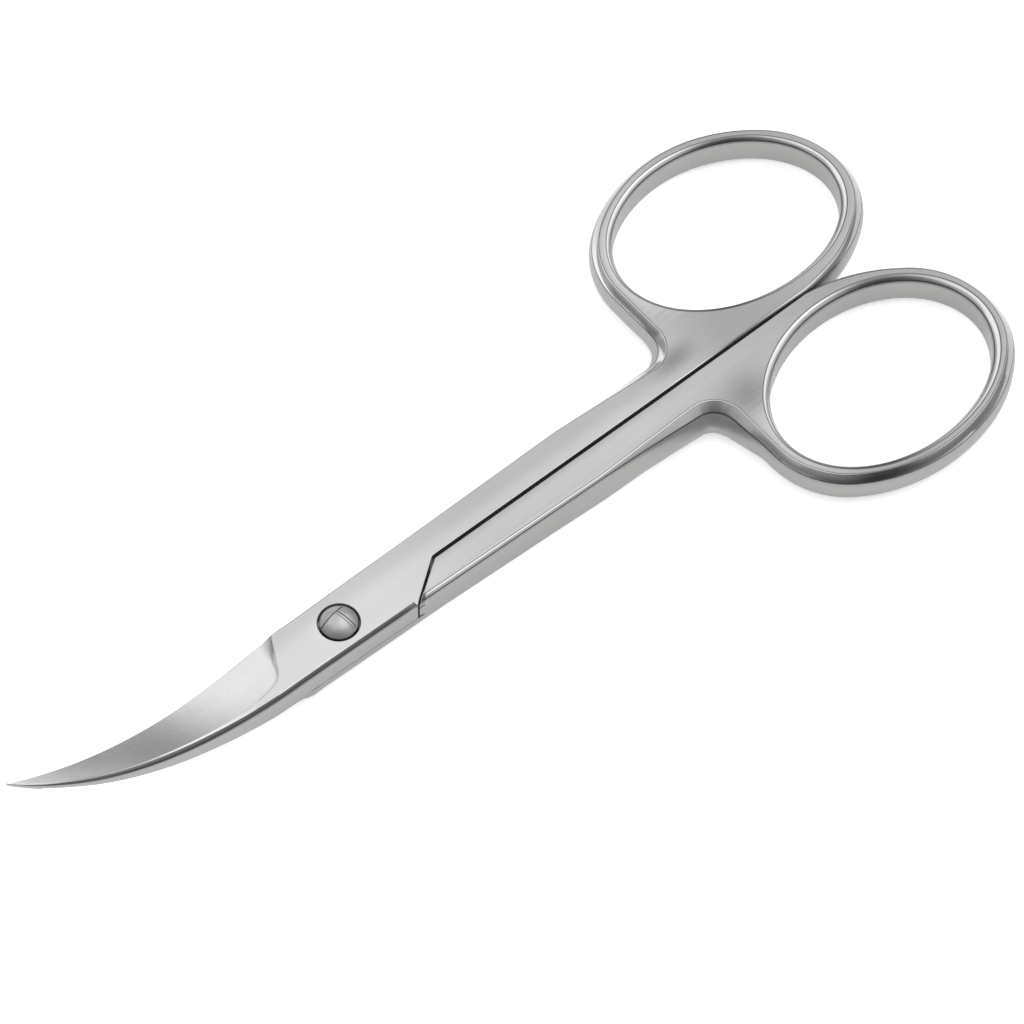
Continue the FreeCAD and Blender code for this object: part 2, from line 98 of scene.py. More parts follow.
# The next tables have rows of a reach from the pivot towards the tip and a size there. The grind's two
# have a place across the blade and the reach where the grind starts, or how long it takes to run in.
SPINE_ROUNDING = [(3, 0.74), (5, 0.76), (12, 0.74), (15, 0.68), (20, 0.54), (25, 0.34), (29, 0.13),
                  (30.8, 0.02)]
SPINE_LEAN = [(3, 62), (10, 60), (15, 68), (30.8, 72)]
CREST = [(3, -1.62), (11, -1.62), (14, -1.5), (17, -1.3), (20, -1.08), (23.5, -0.66), (26.6, -0.2),
         (28.4, 0.06), (29.9, 0.26), (30.8, 0.335)]
GRIND_START = [(-2.5, 12), (-1.62, 11), (-1.55, 10), (-1.5, 9), (-1.35, 8), (-1.1, 7), (-0.6, 6.4), (0, 6),
               (1.2, 5.35), (2.35, 4.7), (2.6, 4.55)]
GRIND_RAMP = [(-2.5, 0.7), (-1.5, 0.6), (-0.8, 0.3), (-0.3, 0.3), (0.6, 0.6), (2.4, 1.35), (2.6, 1.35)]
GRIND_SWEEP = 2.2
WHEEL_RADIUS = 20
LEAST_FACET = 0.004
LEAST_WIDTH = 0.001
MOST_ROUNDING = 0.75
EDGE_TO_CREST = 75
CREST_TO_SPINE = 7
SLICES = [*np.arange(JOIN, 12, 0.06), *np.linspace(12, 29.4, 84), 29.7, 30, 30.25, 30.45, 30.65, TIP]


def eased(place, table):
    """Value at each place of a smooth line through the rows of a table of (place, value)."""
    xs, ys = np.array(sorted(table), float).T
    rise = np.diff(ys) / np.diff(xs)
    slopes = np.concatenate([rise[:1], (rise[1:] + rise[:-1]) / 2, rise[-1:]])
    place = np.clip(place, xs[0], xs[-1])
    row = np.clip(np.searchsorted(xs, place) - 1, 0, len(xs) - 2)
    span = xs[row + 1] - xs[row]
    t = (place - xs[row]) / span
    start = (1 + 2 * t) * (1 - t) ** 2 * ys[row] + t * (1 - t) ** 2 * span * slopes[row]
    return start + t * t * (3 - 2 * t) * ys[row + 1] - t * t * (1 - t) * span * slopes[row + 1]


def curled(reach, level, start, rise):
    """Height of a face that is level up to a reach, and from there curls up to the tip."""
    radius = ((TIP - start) ** 2 + rise**2) / (2 * rise)
    past = np.maximum(reach - start, 0)
    return level + radius - np.sqrt(radius**2 - past**2)


def straight(start, end, step=0.6):
    """Points along a straight wall and the way that it faces, with the metal on its right."""
    start, end = np.array(start, float), np.array(end, float)
    along = (end - start) / np.linalg.norm(end - start)
    count = max(2, math.ceil(np.linalg.norm(end - start) / step) + 1)
    points = start + (end - start) * np.linspace(0, 1, count)[:, None]
    return points, np.tile([-along[1], along[0]], (count, 1))


def bend(centre, radius, first, last, step=2.5):
    """The same along an arc between two angles. A rising angle makes an inside corner."""
    angles = np.radians(np.linspace(first, last, max(3, math.ceil(abs(last - first) / step) + 1)))
    out = np.stack([np.cos(angles), np.sin(angles)], 1)
    return np.array(centre) + out * radius, out * (1 if last < first else -1)


def heading(centre, other):
    """Angle from one point to another, in degrees."""
    return math.degrees(math.atan2(other[1] - centre[1], other[0] - centre[0]))


def corner(before, at, after, radius):
    """A small arc in place of the corner between two straight walls."""
    before, at, after = (np.array(p, float) for p in (before, at, after))
    into = (at - before) / np.linalg.norm(at - before)
    away = (after - at) / np.linalg.norm(after - at)
    turn = math.atan2(into[0] * away[1] - into[1] * away[0], into @ away)
    side = 1 if turn > 0 else -1
    left = np.array([-into[1], into[0]])
    centre = at - into * radius * math.tan(abs(turn) / 2) + left * radius * side
    first = math.degrees(math.atan2(*(-left * side)[::-1]))
    return bend(centre, radius, first, first + math.degrees(turn), step=6)


def joined(*runs):
    """One path out of runs of (points and facings, back rounding, front rounding, belly of the ring)."""
    points, outs, measures = [], [], []
    for (run_points, run_outs), *ends in runs:
        along = np.linspace(0, 1, len(run_points))
        keep = slice(1 if points else 0, None)
        points.append(run_points[keep])
        outs.append(run_outs[keep])
        pairs = [*ends, (0, 0)][:3]
        measures.append(np.stack([np.interp(along, [0, 1], pair) for pair in pairs], 1)[keep])
    return (np.concatenate(points), np.concatenate(outs), *np.concatenate(measures).T)


# The rows of a rounding from its flat to its wall, which of them are buffed, and how many count as flat.
QUARTER = np.linspace(0, 1, ROUND_STEPS + 1)
POLISHED_ROUND = np.array([0, 1, 1, 1, 1, 0, 0, 0, 0])
FLAT_ROWS = 5


def rounding(radius, lean):
    """How far each row of a rounding lies in from the wall and down from the flat."""
    slope = np.radians(np.reshape(lean, (-1, 1))) * QUARTER[::-1]
    radius = np.reshape(radius, (-1, 1))
    return radius * (1 - np.cos(slope)), radius * (np.sin(slope[:, :1]) - np.sin(slope))


def wall(path, back, front, levels, lean=90, front_lean=90):
    """Rows of (x, y, depth, polished, wall) down a wall, from the front face to the back.

    The levels are the depths of the rows between the two roundings. A rounding starts from its flat at
    the lean: 90 degrees is a smooth start, and less than that leaves a crease.
    """
    points, outs, back_radius, front_radius = path[:4]
    front_in, front_drop = rounding(front_radius, front_lean)
    front_at = np.reshape(front, (-1, 1)) - front_drop
    back_in, back_drop = (part[:, ::-1] for part in rounding(back_radius, lean))
    back_at = np.reshape(back, (-1, 1)) + back_drop
    levels = np.reshape(levels, (-1, np.shape(levels)[-1]))
    level = np.clip(levels, back_at[:, :1], front_at[:, -1:])
    between = level.shape[1]
    inset = np.hstack([front_in, np.zeros((len(points), between)), back_in])
    depth = np.hstack([front_at, level, back_at])
    polish = np.concatenate([POLISHED_ROUND, np.zeros(between), POLISHED_ROUND[::-1]])
    side = np.ones(between + 2 * len(QUARTER))
    side[:FLAT_ROWS] = side[-FLAT_ROWS:] = 0
    flat = points[:, None] - outs[:, None] * inset[..., None]
    marks = np.broadcast_to(np.stack([polish, side], 1), inset.shape + (2,))
    return np.concatenate([flat, depth[..., None], marks], 2)


BELLY_RADIUS = 2.13
BELLY_LEVEL = 1.4
CREASE_INSET = 0.07
SPREAD_LEVELS = (1.2, STOCK - 0.15)
SHANK_SPREAD = ((8, 20, 28, 33.7, 35.8), (0, 0.22, 0.45, 0.85, 0.95))
SPREAD_END = 43
# Arcs of the ring's section, from its top down: radius, level of the centre, slopes of the rows.
BELLY_ARCS = (
    (0.1, STOCK - 0.1, (90, 78, 62, 47.6)),
    (BELLY_RADIUS, BELLY_LEVEL, (29, 25, 21, 18, 15, *np.linspace(11, -30, 8))),
    (0.3, 0.3, np.linspace(-36.9, -90, 9)),
)


def bellied(path, rows, top_first, neck_spread):
    """Swells a wall towards the ring's section, creased at the top and widest half way down, and spreads
    the foot of the shank's wall as it nears the neck. Neck_spread holds places in Y and shares there."""
    points, outs, share = path[0], path[1], path[4][:, None]
    section = []
    for radius, level, slopes in BELLY_ARCS:
        slope = np.radians(slopes)
        middle = BELLY_RADIUS - math.sqrt((BELLY_RADIUS - radius) ** 2 - (level - BELLY_LEVEL) ** 2)
        section.append(np.stack([middle - radius * np.cos(slope), level + radius * np.sin(slope)], 1))
    section = np.concatenate(section)
    inset, level = section[:, 0], section[:, 1]
    inset[0] += CREASE_INSET
    depth = level if top_first else (STOCK - level)[::-1]
    inset = inset if top_first else inset[::-1]
    full = points[:, None] - outs[:, None] * inset[None, :, None]
    rows = rows.copy()
    rows[..., :2] += (full - rows[..., :2]) * share[..., None]
    rows[..., 2] += (depth - rows[..., 2]) * share
    height = rows[..., 2] if top_first else STOCK - rows[..., 2]
    below = np.interp(height, SPREAD_LEVELS, (1, 0))
    spread = np.interp(points[:, 0], *SHANK_SPREAD) * (points[:, 0] < SPREAD_END)
    spread *= np.interp(points[:, 1], *neck_spread)
    rows[..., :2] += outs[:, None] * (below * spread[:, None])[..., None]
    return rows


def circle(radius, steps=72):
    """The wall of a round hole at the pivot."""
    angles = np.linspace(0, 2 * math.pi, steps, endpoint=False)
    out = -np.stack([np.cos(angles), np.sin(angles)], 1)
    return -out * radius, out


def ring_hole(steps=150):
    """The wall of the finger hole, an ellipse that leans towards the joint."""
    angles = np.linspace(0, 2 * math.pi, steps, endpoint=False)
    cosine, sine = math.cos(HOLE_TILT), math.sin(HOLE_TILT)
    turn = np.array([[cosine, -sine], [sine, cosine]])
    long, short = HOLE_RADII
    points = np.stack([long * np.cos(angles), short * np.sin(angles)], 1)
    out = -np.stack([short * np.cos(angles), long * np.sin(angles)], 1)
    out /= np.linalg.norm(out, axis=1)[:, None]
    return points @ turn.T + HOLE_CENTRE, out @ turn.T


# What each vertex of a half is laid down with.
COLUMNS = ("x", "y", "depth", "polished", "wall", "ground")
SAME_PLACE = 5e-5
NO_LENGTH = 2e-5
NO_STEP = 1e-5
DRAW_START = 44
DRAW_FADE = 8
DRAW_REACH = 10


def marked(mesh, **finishes):
    """Keeps on a mesh how far each vertex is polished, of a wall or ground."""
    for finish, values in finishes.items():
        kept = mesh.attributes.new(finish, "FLOAT", "POINT")
        kept.data.foreach_set("value", values.astype(np.float32))


def shaded_smooth(metal, crease):
    """Smooth shading on all faces, with a crease at each edge that turns by more than so many degrees."""
    for face in metal.faces:
        face.smooth = True
    for bm_edge in metal.edges:
        if len(bm_edge.link_faces) == 2 and bm_edge.calc_face_angle() > math.radians(crease):
            bm_edge.smooth = False


class Shell:
    """The vertices and faces of one half, while its walls and flats are laid down."""

    def __init__(self):
        self.rows = []
        self.faces = []

    def lay(self, block):
        """Keeps a block of rows and gives the numbers of its vertices."""
        start = sum(len(part) for part in self.rows)
        marks = np.zeros(block.shape[:2] + (len(COLUMNS) - block.shape[2],))
        self.rows.append(np.concatenate([block, marks], 2).reshape(-1, len(COLUMNS)))
        return np.arange(start, start + block.shape[0] * block.shape[1]).reshape(block.shape[:2])

    def skin(self, grid, closed=False):
        """Adds faces between the rows of a grid, and from its last row to its first where it is closed."""
        last = grid[1:] if not closed else np.roll(grid, -1, 0)
        first = grid[:-1] if not closed else grid
        quads = np.stack([first[:, :-1], last[:, :-1], last[:, 1:], first[:, 1:]], -1)
        self.faces.extend(quads.reshape(-1, 4).tolist())

    def fill(self, *loops):
        """Adds a flat face that lies inside the first loop and outside the others."""
        places = np.concatenate(self.rows)
        cleaned = []
        for loop in loops:
            steps = [np.abs(places[i, :2] - places[loop[n - 1], :2]).max() for n, i in enumerate(loop)]
            cleaned.append([int(i) for i, step in zip(loop, steps) if step > NO_STEP])
        flat = [i for loop in cleaned for i in loop]
        corners = [[Vector((*places[i, :2], 0)) for i in loop] for loop in cleaned]
        self.faces.extend([[flat[k] for k in triangle] for triangle in tessellate_polygon(corners)])


def edge_leans(down):
    """Leans of the roundings at the back and at the front: the face that shows has a crease round it."""
    return (EDGE_LEAN, 90) if down < 0 else (90, EDGE_LEAN)


def blank_walls(shell, down, lap, shape):
    """Lays the walls of the blank: from the pocket round the ring to the seam, and then round the lap.

    Gives the grid of each wall, and how far out the edge and the spine are where the blade starts.
    """
    far, wide, near, seam = shape["far_wall"], shape["neck_half_width"], LAP_HALF_WIDTH, shape["seam"]
    out_top, under = shape["outer_round"], shape["under_round"]
    ring_out, ring_in = shape["ring_round"], shape["hole_round"]
    seam_round, seam_ring_round = shape["seam_round"], shape["seam_ring_round"]

    def outer_wall(x):
        return near + (x + LAP_REACH) * (wide - near) / (NECK_REACH + LAP_REACH)

    def side_rounds(start, end):
        """Back and front roundings: the upper half shows its back, and the lower its front."""
        return ((start, end), (under, under)) if down < 0 else ((under, under), (start, end))

    first_angle = heading(FIRST_END, FIRST_MEETING)
    second_angle = heading(FAR_SIDE, SECOND_MEETING)
    third_angle = heading(LAST_END, THIRD_MEETING)
    pocket_x = SHOULDER_END + shape["pocket_shift"]
    seam_corner = (SEAM_END, seam)
    pocket_corner = (pocket_x, outer_wall(pocket_x))
    neck = (NECK_REACH, wide)
    shoulder_foot = (SHOULDER_END, -far)
    join_foot = (-JOIN, -(near + (far - near) * (LAP_REACH - JOIN) / (SHOULDER_END + LAP_REACH)))
    seam_turn = (SEAM_TURN, seam)
    pocket_start = corner(seam_turn, seam_corner, pocket_corner, shape["pocket_bend"])
    shoulder_way = np.subtract(seam_corner, pocket_corner) / math.dist(seam_corner, pocket_corner)
    wall_way = np.subtract(neck, pocket_corner) / math.dist(neck, pocket_corner)
    slant = shoulder_way @ wall_way / abs(shoulder_way[0] * wall_way[1] - shoulder_way[1] * wall_way[0])
    cut_round = under if down < 0 else shape["pocket_round"]
    leans = edge_leans(down)
    cut_inset, cut_drop = (part[0] for part in rounding(cut_round, leans[1]))
    cut_level = STOCK - cut_drop
    cut_places = pocket_corner + shoulder_way * (cut_inset * math.hypot(1, slant))[:, None]
    seam_ease = corner(seam_turn, (SEAM_END - LAP_CLEARANCE, seam), shoulder_foot, shape["seam_bend"])
    foot_ease = corner(seam_corner, shoulder_foot, join_foot, FOOT_BEND)
    belly_start = (BELLY_START, outer_wall(BELLY_START))
    neck_top = (RING_START, wide + NECK_RADIUS)
    ring_foot = (NEAR_SIDE[0], NEAR_SIDE[1] - SIDE_RADIUS)
    neck_bend = bend((NECK_REACH, wide + NECK_RADIUS), NECK_RADIUS, -90, 0)
    all_ring = (*side_rounds(ring_out, ring_out), (1, 1))
    high = joined(
        (straight(pocket_corner, belly_start), *side_rounds(shape["pocket_round"], out_top)),
        (straight(belly_start, neck), *side_rounds(out_top, out_top), (0, 1)),
        (neck_bend, *side_rounds(out_top, ring_out), (1, 1)),
        (straight(neck_top, (RING_START, FIRST_END[1])), *all_ring),
        (bend(FIRST_END, END_RADIUS, 180, first_angle), *all_ring),
        (bend(FAR_SIDE, SIDE_RADIUS, first_angle, second_angle), *all_ring),
        (bend(LAST_END, END_RADIUS, second_angle, third_angle), *all_ring),
        (bend(NEAR_SIDE, SIDE_RADIUS, third_angle, -90), *side_rounds(ring_out, seam_ring_round), (1, 0)),
        (straight(ring_foot, seam_turn), *side_rounds(seam_ring_round, seam_round)),
        (straight(seam_turn, pocket_start[0][0]), *side_rounds(seam_round, seam_round)),
    )
    edge_end = cut_places[0] + shoulder_way * POCKET_EDGE_END
    cut = (cut_places, np.tile([-wall_way[1], wall_way[0]], (len(cut_places), 1)))
    pocket = joined(
        (pocket_start, (0, 0), (shape["seam_front"], shape["pocket_edge"])),
        (straight(pocket_start[0][-1], edge_end), (0, 0), (shape["pocket_edge"], shape["pocket_edge"])),
        (straight(edge_end, cut_places[0], step=0.1), (0, 0), (shape["pocket_edge"], 0)),
        (cut, (0, 0), (0, 0)),
    )
    pocket_level = np.full(len(pocket[0]), STOCK)
    pocket_level[-len(cut_level):] = cut_level
    seam_back, lap_back, foot_back = shape["seam_back"], shape["lap_back"], shape["foot_back"]
    spine_back = float(eased(JOIN, SPINE_ROUNDING))
    seam_lap = joined(
        (straight(pocket_start[0][0], seam_ease[0][0], step=0.05), (seam_back, lap_back), (0, 0)),
        (seam_ease, (lap_back, lap_back), (0, 0)),
        (straight(seam_ease[0][-1], foot_ease[0][0]), (lap_back, lap_back), (0, 0)),
        (foot_ease, (lap_back, foot_back), (0, ARRIS)),
        (straight(foot_ease[0][-1], join_foot, step=0.3), (foot_back, spine_back), (ARRIS, ARRIS)),
    )
    wall_run = straight((-JOIN, outer_wall(-JOIN)), pocket_corner, step=0.3)
    wall_lap = joined((wall_run, (shape["edge_back"], shape["pocket_back"]), (ARRIS, 0)))
    seam_lap[1][-1] = (0, -1)
    wall_lap[1][0] = (0, 1)

    # The first three levels lie on the pocket's wall, the fourth at the lap, the rest on the lap's walls.
    levels = np.array(shape["levels"])
    seam_share = np.interp(high[0][:, 1], SEAM_SIDE, (1, 0))
    high_leans = [lean_here + (90 - lean_here) * seam_share for lean_here in leans]
    high_rows = wall(high, 0, STOCK, levels, *high_leans)
    fade = np.clip(1 - np.linalg.norm(high[0] - pocket_corner, axis=1) / CUT_SHIFT_REACH, 0, 1)
    cut_shift = rounding(high[3] * fade * slant, leans[1])[0]
    high_rows[:, :len(QUARTER), :2] += cut_shift[..., None] * wall_way
    high_grid = shell.lay(bellied(high, high_rows, down > 0, shape["neck_spread"]))
    pocket_grid = shell.lay(wall(pocket, lap, pocket_level, levels[:3]))
    seam_lean = np.interp(-seam_lap[0][:, 0], FOOT_TURN, (90, SPINE_LEAN[0][1]))
    seam_grid = shell.lay(wall(seam_lap, 0, lap, levels[4:], seam_lean))
    outer_grid = shell.lay(wall(wall_lap, 0, lap, levels[4:], leans[0]))
    hole_points, hole_outs = ring_hole()
    hole_back, hole_front = (ring_in, HIDDEN_HOLE_ROUND) if down < 0 else (HIDDEN_HOLE_ROUND, ring_in)
    hole_rounds = (np.full(len(hole_points), radius) for radius in (hole_back, hole_front))
    hole = (hole_points, hole_outs, *hole_rounds)
    hole_grid = shell.lay(wall(hole, 0, STOCK, [STOCK / 2], *leans))
    for grid in (high_grid, pocket_grid, seam_grid, outer_grid):
        shell.skin(grid)
    shell.skin(hole_grid, closed=True)
    return high_grid, pocket_grid, seam_grid, outer_grid, hole_grid, (outer_wall(-JOIN), -join_foot[1])


def blade_slices(shell, down, lap, shape, join):
    """Lays the blade's slices from the joint to the tip. Gives the vertices across its back at the joint.

    Each slice runs from the edge over the hollow to the crest, and over a narrow facet to the spine.
    """
    reach = JOIN + (np.array(SLICES) - JOIN) * (shape["tip"] - JOIN) / (TIP - JOIN)
    edge, spine = eased(reach, shape["edge"]), eased(reach, shape["spine"])
    edge[0], spine[0] = join
    depth = np.abs(shape["mating"](reach) - shape["back"](reach))
    edge_round = np.interp(reach, *zip(*shape["edge_rounding"]))
    spine_round = np.minimum(eased(reach, SPINE_ROUNDING), depth * MOST_ROUNDING)
    spine_round[0] = float(eased(JOIN, SPINE_ROUNDING))
    spine_lean = eased(reach, SPINE_LEAN)
    edge_lean = np.interp(reach, (JOIN, EDGE_LEAN_END), (edge_leans(down)[0], 90))
    left = edge - rounding(edge_round, edge_lean)[0][:, 0]
    right = -spine + spine_round * (1 - np.cos(np.radians(spine_lean)))
    crest = np.clip(eased(reach, CREST), right + LEAST_FACET, left - LEAST_FACET)
    land = np.minimum(eased(reach, shape["edge_land"]), depth)
    shares = np.concatenate([np.linspace(0, 1, EDGE_TO_CREST), 1 + np.linspace(0, 1, CREST_TO_SPINE)[1:-1]])
    y = np.where(shares <= 1, left[:, None] + (crest - left)[:, None] * np.minimum(shares, 1),
                 crest[:, None] + (right - crest)[:, None] * np.maximum(shares - 1, 0))
    x = np.broadcast_to(-reach[:, None], y.shape)
    width = np.maximum(left - crest, LEAST_WIDTH)[:, None]
    share = np.clip((y - crest[:, None]) / width, 0, 1)
    hollow = width**2 / (8 * WHEEL_RADIUS) * 4 * share * (1 - share)
    fall = (depth - land)[:, None] * share + hollow
    past = (-x - eased(y, GRIND_START)) / eased(y, GRIND_RAMP)
    ground = (1 - (1 - np.clip(past, 0, 1)) ** GRIND_SWEEP) * fall
    marks = np.zeros(y.shape + (3,))
    marks[..., 2] = np.clip(past, 0, 1) * (share > 0)
    top = np.concatenate([x[..., None], y[..., None], ground[..., None], marks], 2)
    thin_round = np.full(len(reach), ARRIS)
    thin_round[-TIP_SLICES:] = TIP_ARRIS
    north = np.tile([0.0, 1.0], (len(reach), 1))
    blade_levels = depth[:, None] / lap * np.array(shape["levels"])[4:]
    edge_path = (np.stack([-reach, edge], 1), north, edge_round, thin_round)
    spine_path = (np.stack([-reach, -spine], 1), -north, spine_round, thin_round)
    edge_rows = wall(edge_path, top[:, 0, 2], depth, blade_levels, edge_lean)
    spine_rows = wall(spine_path, 0, depth, blade_levels, spine_lean)
    pad = np.zeros(edge_rows.shape[:2] + (1,))
    edge_rows, spine_rows = (np.concatenate([part, pad], 2) for part in (edge_rows, spine_rows))
    blade_grid = shell.lay(np.concatenate([edge_rows, top[:, 1:], spine_rows[:, ::-1]], 1))
    shell.skin(np.concatenate([blade_grid, blade_grid[:, :1]], 1))
    shell.faces.append(blade_grid[-1].tolist())
    edge_count = edge_rows.shape[1]
    return blade_grid[0, edge_count - 1:len(shares) + edge_count]


def pivot_walls(shell, lap, shape):
    """Lays the round walls at the pivot, and gives the one at the back and the one at the front."""
    def bore(radius, back, front, back_round, front_round):
        points, outs = circle(radius)
        path = (points, outs, np.full(len(points), back_round), np.full(len(points), front_round))
        grid = shell.lay(wall(path, back, front, [(back + front) / 2]))
        shell.skin(grid, closed=True)
        return grid

    if not shape["head_pocket"]:
        through = bore(shape["thread_bore"], 0, lap, shape["bore_mouth"], BORE_ROUND)
        return through, through
    seat_radius, seat_depth = shape["head_pocket"]
    seat = bore(seat_radius, 0, seat_depth, shape["bore_mouth"], 0)
    shaft = bore(PIVOT_BORE, seat_depth, lap, 0, BORE_ROUND)
    shell.skin(np.stack([seat[:, 0], shaft[:, -1]], 1), closed=True)
    return seat, shaft


def forged_half(name, side, down, lap, shape):
    """One half as a closed mesh. Side is the side of its ring, down leads from its back into the metal,
    lap is how thick the joint is, and shape holds what differs between the halves."""
    shell = Shell()
    high, pocket, seam, outer, hole, join = blank_walls(shell, down, lap, shape)
    across_back = blade_slices(shell, down, lap, shape, join)
    back_bore, front_bore = pivot_walls(shell, lap, shape)
    back_loop = [*outer[:, -1], *high[1:, -1], *seam[1:, -1], *across_back[::-1][1:-1]]
    shell.fill(back_loop, back_bore[:, -1], hole[:, -1])
    shell.fill([*high[:, 0], *pocket[1:-len(QUARTER), 0]], hole[:, 0])
    shell.fill([*outer[:, 0], *pocket[::-1, -1][1:], *seam[1:, 0]], front_bore[:, 0])

    places = np.concatenate(shell.rows)
    for way, amount in shape["ring_draw"]:
        far_end = np.clip((places[:, 0] - DRAW_START) / DRAW_FADE, 0, 1)
        share = np.clip((places[:, :2] - HOLE_CENTRE) @ way / DRAW_REACH, 0, 1) ** 2 * far_end
        places[:, :2] += amount * share[:, None] * np.array(way)
    height = shape["back"](-places[:, 0]) + down * places[:, 2]
    mesh = bpy.data.meshes.new(name)
    mesh.from_pydata(np.stack([places[:, 0], side * places[:, 1], height], 1).tolist(), [], shell.faces)
    marked(mesh, polished=places[:, 3], wall=places[:, 4], ground=places[:, 5])
    metal = bmesh.new()
    metal.from_mesh(mesh)
    bmesh.ops.remove_doubles(metal, verts=metal.verts, dist=SAME_PLACE)
    bmesh.ops.dissolve_degenerate(metal, edges=metal.edges, dist=NO_LENGTH)
    bmesh.ops.recalc_face_normals(metal, faces=metal.faces)
    shaded_smooth(metal, crease=34)
    bmesh.ops.scale(metal, vec=(MM, MM, MM), verts=metal.verts)
    metal.to_mesh(mesh)
    metal.free()
    piece = bpy.data.objects.new(name, mesh)
    bpy.context.scene.collection.objects.link(piece)
    weighted = piece.modifiers.new("flat faces stay flat", "WEIGHTED_NORMAL")
    weighted.keep_sharp = True
    return piece


# Steel finish: the flats are brushed with a fine belt, the blade is ground across on a wheel, and the
# roundings are buffed bright. The marks left on each mesh say where each of the three was done. The
# material also paints shade and dark reflections into the colour, by place on each half.

class Wire:
    """A number on its way between nodes, so that sums on it become Math nodes."""

    def __init__(self, nodes, socket):
        self.nodes = nodes
        self.socket = socket

    def _sum(self, kind, first, second):
        return self.nodes.add("ShaderNodeMath", {"operation": kind}, {0: first, 1: second})

    def __add__(self, other):
        return self._sum("ADD", self, other)

    def __radd__(self, other):
        return self._sum("ADD", other, self)

    def __sub__(self, other):
        return self._sum("SUBTRACT", self, other)

    def __rsub__(self, other):
        return self._sum("SUBTRACT", other, self)

    def __mul__(self, other):
        return self._sum("MULTIPLY", self, other)

    def __rmul__(self, other):
        return self._sum("MULTIPLY", other, self)

    def __truediv__(self, other):
        return self._sum("DIVIDE", self, other)

    def __rtruediv__(self, other):
        return self._sum("DIVIDE", other, self)


class Nodes:
    """The node tree of one material or of the studio."""

    def __init__(self, owner):
        owner.use_nodes = True
        self.tree = owner.node_tree
        self.tree.nodes.clear()

    def add(self, kind, settings=None, inputs=None, output=0):
        """Adds a node: its settings first, then what its sockets hold or are fed by."""
        node = self.tree.nodes.new(kind)
        for setting, value in (settings or {}).items():
            setattr(node, setting, value)
        for socket, value in (inputs or {}).items():
            if isinstance(value, Wire):
                self.tree.links.new(value.socket, node.inputs[socket])
            else:
                node.inputs[socket].default_value = value
        return Wire(self, node.outputs[output]) if node.outputs else node


def smooth_step(nodes, value, low, high):
    """0 below one value and 1 above another, with a soft change between."""
    settings = {"interpolation_type": "SMOOTHSTEP"}
    return nodes.add("ShaderNodeMapRange", settings, {"Value": value, "From Min": low, "From Max": high})


def stretched_noise(nodes, place, stretch, scale, detail, rough):
    """Noise drawn out along one way, as a belt or a wheel leaves it."""
    drawn = nodes.add("ShaderNodeMapping", None, {"Vector": place, "Scale": stretch})
    inputs = {"Vector": drawn, "Scale": scale, "Detail": detail, "Roughness": rough}
    return nodes.add("ShaderNodeTexNoise", None, inputs)


def near_place(nodes, value, centre, wide):
    """1 where a length is at a centre, easing to 0 at so much to either side of it."""
    off = nodes.add("ShaderNodeMath", {"operation": "ABSOLUTE"}, {0: value - centre})
    return 1 - smooth_step(nodes, off, 0.0, wide)


def blend(nodes, share, first, second, way="MIX"):
    """One colour that gives way to another by a share."""
    # A mix of colours takes its share in socket 0 and its colours in 6 and 7, and gives its result in 2.
    settings = {"data_type": "RGBA", "blend_type": way}
    return nodes.add("ShaderNodeMix", settings, {0: share, 6: first, 7: second}, 2)


# Each kind of brush mark: how it is drawn out, how fine it is, and its detail and roughness.
BELT_LINES = ((0.03, 1.0, 1.0), 15000.0, 2.0, 0.5)
WHEEL_LINES = ((1.0, 0.03, 0.03), 12000.0, 2.0, 0.5)
BELT_STREAKS = ((0.02, 1.0, 1.0), 2600.0, 2.0, 0.5)
CLOUDS = ((0.4, 1.0, 1.0), 170.0, 1.0, 0.4)
# The "line" share is the strength of the painted dark line at the edge of the buffed roundings.
MARK_SHARES = {"grain": 0.5, "streaks": 0.15, "clouds": 0.4, "all": 0.3, "line": 0.9}
ROUGH_SHARES = {"grain": 0.12, "clouds": 0.1}
BRUSH_DEPTH = 0.003
POLISH_ENDS = (0.35, 0.65)
GRIND_RUN_IN = (0.0, 0.08)
GROUND_SHADE = (0.76, 0.76, 0.757, 1)
DIMMED_SHADE = (0.2, 0.2, 0.2, 1)
# The walls' darker shade is painted shade: it stands in for the dimmer floor that the walls reflect. The
# walls are also rougher.
SATIN = {
    "flat_shade": (0.68, 0.68, 0.676, 1),
    "wall_shade": (0.4, 0.398, 0.392, 1),
    "bright_shade": (0.72, 0.72, 0.72, 1),
    "flat_rough": 0.3,
    "wall_rough": 0.42,
    "bright_rough": 0.12,
}

# Places in metres where shade and dark reflections are painted into the steel's colour, each with where it
# starts and ends or its centre and its width, and then how much painted shade the flats, the buffed
# roundings and the ground blade get there.
RING_MIDDLE = (0.0474, 0.00935)
RING_REACH = (0.0098, 0.0074)
RING_ACROSS = (0.64, 0.77)
RING_STARTS = (0.035, 0.041)
HOLE_RIM_ENDS = (1.2, 1.34)
SHANK_ENDS = (0.031, 0.037)
SHANK_SHADE_RISE = (0.002, 0.016)
NECK_SHADE_RISE = (0.028, 0.038)
INNER_NECK_X = (0.0345, 0.0024)
INNER_NECK_Y = (0.0046, 0.0026)
JOINT_ENDS = (0.004, 0.008)
BLADE_MIDDLE = (-0.0168, 0.0075)
BLADE_END = (0.02, 0.026)
SHOULDER_SIDE = (-0.0008, 0.0012)
FLAT_PAINTED_SHADE = {"across the ring": 0.14, "ring": 0.05, "shank": 0.17, "neck": 0.16}
BUFFED_PAINTED_SHADE = {"ring's side": 0.6, "across the ring": 0.97, "inner neck": 0.95, "joint": 0.72, "shank": 0.2}
BLADE_PAINTED_SHADE = {"middle": 0.4, "end": 0.46, "shoulder": 0.5}


